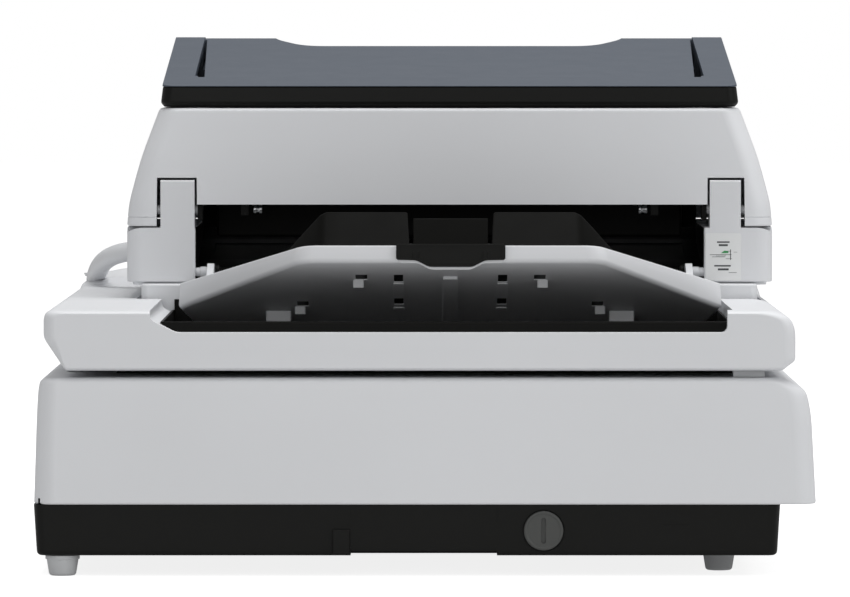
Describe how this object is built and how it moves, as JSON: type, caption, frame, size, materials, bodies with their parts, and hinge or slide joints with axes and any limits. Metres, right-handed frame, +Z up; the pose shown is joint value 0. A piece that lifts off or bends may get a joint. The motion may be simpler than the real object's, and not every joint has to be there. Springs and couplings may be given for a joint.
{
  "type": "document scanner",
  "caption": "Flatbed scanner with a thick hinged document cover carrying a sheet feeder, a folding paper chute and a tilting paper stacker",
  "frame": {"origin": "centre of the footprint on the floor, under the feet", "axes": "X to the operator's side, Y to the end where paper is fed, Z up"},
  "size_m": [0.5, 0.706, 0.345],
  "materials": {
    "white_shell": "fine moulded texture",
    "slate_shell": "fine moulded texture",
    "black_plastic": "satin",
    "grey_plastic": "satin",
    "foot_plastic": "matt",
    "rubber": "matt",
    "bed_glass": "clear",
    "foam": "smooth white sheet on foam",
    "steel": "plated",
    "circuit_board": "solder mask",
    "printed_label": "printed",
    "key_plastic": "satin",
    "display_glass": "glossy"
  },
  "bodies": {
    "base": {"base_pan": "black_plastic", "base_cover": "white_shell", "bed_frame": "black_plastic", "bed_glass": "bed_glass", "foot_near_left": "foot_plastic", "foot_near_right": "foot_plastic", "foot_far_left": "foot_plastic", "foot_far_right": "foot_plastic", "guide_rod_left": "steel", "guide_rod_right": "steel", "rail_bracket_near": "steel", "rail_bracket_far": "steel", "carriage_belt": "rubber", "carriage_motor": "steel", "main_board": "circuit_board", "power_supply": "steel", "power_inlet": "black_plastic", "data_port": "steel", "panel_bezel": "black_plastic", "panel_display": "display_glass", "hinge_near": "steel", "hinge_far": "steel", "cover_rest_near": "foot_plastic", "cover_rest_far": "foot_plastic"},
    "carriage": {"scan_carriage": "black_plastic", "carriage_lamp": "white_shell"},
    "drive_wheel": {"drive_pulley": "grey_plastic"},
    "idler_wheel": {"idler_pulley": "grey_plastic"},
    "lock_knob": {"transport_lock": "grey_plastic"},
    "mains_switch": {"power_switch": "black_plastic"},
    "key_power": {"button_power": "grey_plastic"},
    "key_scan": {"button_scan": "key_plastic"},
    "key_stop": {"button_stop": "grey_plastic"},
    "key_function": {"button_function": "grey_plastic"},
    "document_cover": {"cover_shell": "white_shell", "cover_plate": "white_shell", "document_pad": "foam", "trough_liner": "black_plastic", "feeder_base": "white_shell", "feeder_frame": "black_plastic", "sensor_lower": "black_plastic", "position_label": "printed_label", "feeder_cable": "white_shell"},
    "feed_drum": {"feed_roller": "rubber"},
    "brake_drum": {"brake_roller": "rubber"},
    "eject_drum": {"eject_roller": "rubber"},
    "feeder_lid": {"feeder_cover": "white_shell", "exit_rod": "steel", "sensor_upper": "black_plastic"},
    "pick_drum": {"pick_roller": "rubber"},
    "chute": {"paper_chute": "slate_shell", "chute_bed": "black_plastic"},
    "guide_left": {"side_guide_left": "black_plastic"},
    "guide_right": {"side_guide_right": "black_plastic"},
    "stacker": {"stacker_tray": "white_shell", "stacker_wing_left": "black_plastic", "stacker_wing_right": "black_plastic"},
    "pull": {"stacker_pull": "black_plastic"},
    "stop": {"stacker_stop": "black_plastic"}
  },
  "joints": [
    {"name": "carriage_slide", "type": "slide", "parent": "base", "child": "carriage", "axis": [0, 1, 0], "range_m": [0, 0.37]},
    {"name": "drive_turn", "type": "hinge", "parent": "base", "child": "drive_wheel", "pos_m": [0, 0.3, 0.055], "axis": [-1, 0, 0], "continuous": true},
    {"name": "idler_turn", "type": "hinge", "parent": "base", "child": "idler_wheel", "pos_m": [0, -0.3, 0.055], "axis": [-1, 0, 0], "continuous": true},
    {"name": "lock_turn", "type": "hinge", "parent": "base", "child": "lock_knob", "pos_m": [0.0757, -0.3505, 0.0294], "axis": [0, 1, 0], "range_deg": [0, 90]},
    {"name": "switch_rock", "type": "hinge", "parent": "base", "child": "mains_switch", "pos_m": [-0.243, 0.245, 0.032], "axis": [0, 0, 1], "range_deg": [0, 12]},
    {"name": "power_press", "type": "slide", "parent": "base", "child": "key_power", "axis": [-1, 0, 0], "range_m": [0, 0.0015], "stiffness_N_per_m": 300},
    {"name": "scan_press", "type": "slide", "parent": "base", "child": "key_scan", "axis": [-1, 0, 0], "range_m": [0, 0.0015], "stiffness_N_per_m": 300},
    {"name": "stop_press", "type": "slide", "parent": "base", "child": "key_stop", "axis": [-1, 0, 0], "range_m": [0, 0.0015], "stiffness_N_per_m": 300},
    {"name": "function_press", "type": "slide", "parent": "base", "child": "key_function", "axis": [-1, 0, 0], "range_m": [0, 0.0015], "stiffness_N_per_m": 300},
    {"name": "cover_open", "type": "hinge", "parent": "base", "child": "document_cover", "pos_m": [-0.226, 0, 0.143], "axis": [0, -1, 0], "range_deg": [0, 60]},
    {"name": "feed_turn", "type": "hinge", "parent": "document_cover", "child": "feed_drum", "pos_m": [0.0165, 0.014, 0.2], "axis": [1, 0, 0], "continuous": true},
    {"name": "eject_turn", "type": "hinge", "parent": "document_cover", "child": "eject_drum", "pos_m": [0.0165, -0.084, 0.1886], "axis": [1, 0, 0], "continuous": true},
    {"name": "brake_turn", "type": "hinge", "parent": "document_cover", "child": "brake_drum", "pos_m": [0.0165, 0.066, 0.2146], "axis": [1, 0, 0], "continuous": true},
    {"name": "feeder_open", "type": "hinge", "parent": "document_cover", "child": "feeder_lid", "pos_m": [0.0165, -0.118, 0.229], "axis": [1, 0, 0], "range_deg": [0, 45]},
    {"name": "pick_turn", "type": "hinge", "parent": "feeder_lid", "child": "pick_drum", "pos_m": [0.0165, 0.07, 0.24], "axis": [1, 0, 0], "continuous": true},
    {"name": "chute_open", "type": "hinge", "parent": "feeder_lid", "child": "chute", "pos_m": [0.0165, 0.1, 0.304], "axis": [-1, 0, 0], "range_deg": [0, 115]},
    {"name": "guide_left_slide", "type": "slide", "parent": "chute", "child": "guide_left", "axis": [1, 0, 0], "range_m": [0, 0.105]},
    {"name": "guide_right_slide", "type": "slide", "parent": "chute", "child": "guide_right", "axis": [-1, 0, 0], "range_m": [0, 0.105]},
    {"name": "stacker_tilt", "type": "hinge", "parent": "document_cover", "child": "stacker", "pos_m": [0.0165, -0.121, 0.1875], "axis": [-1, 0, 0], "range_deg": [0, 40]},
    {"name": "pull_slide", "type": "slide", "parent": "stacker", "child": "pull", "axis": [0, -0.959, 0.2835], "range_m": [0, 0.06]},
    {"name": "stop_fold", "type": "hinge", "parent": "stacker", "child": "stop", "pos_m": [0.0165, -0.304, 0.2049], "axis": [-1, 0, 0], "range_deg": [0, 60]}
  ],
  "couplings": [
    {"joint": "drive_turn", "follows": "carriage_slide", "rad_per_m": 89.686},
    {"joint": "idler_turn", "follows": "carriage_slide", "rad_per_m": 89.686},
    {"joint": "guide_right_slide", "follows": "guide_left_slide", "ratio": 1},
    {"joint": "eject_turn", "follows": "feed_turn", "ratio": 1.8519}
  ]
}
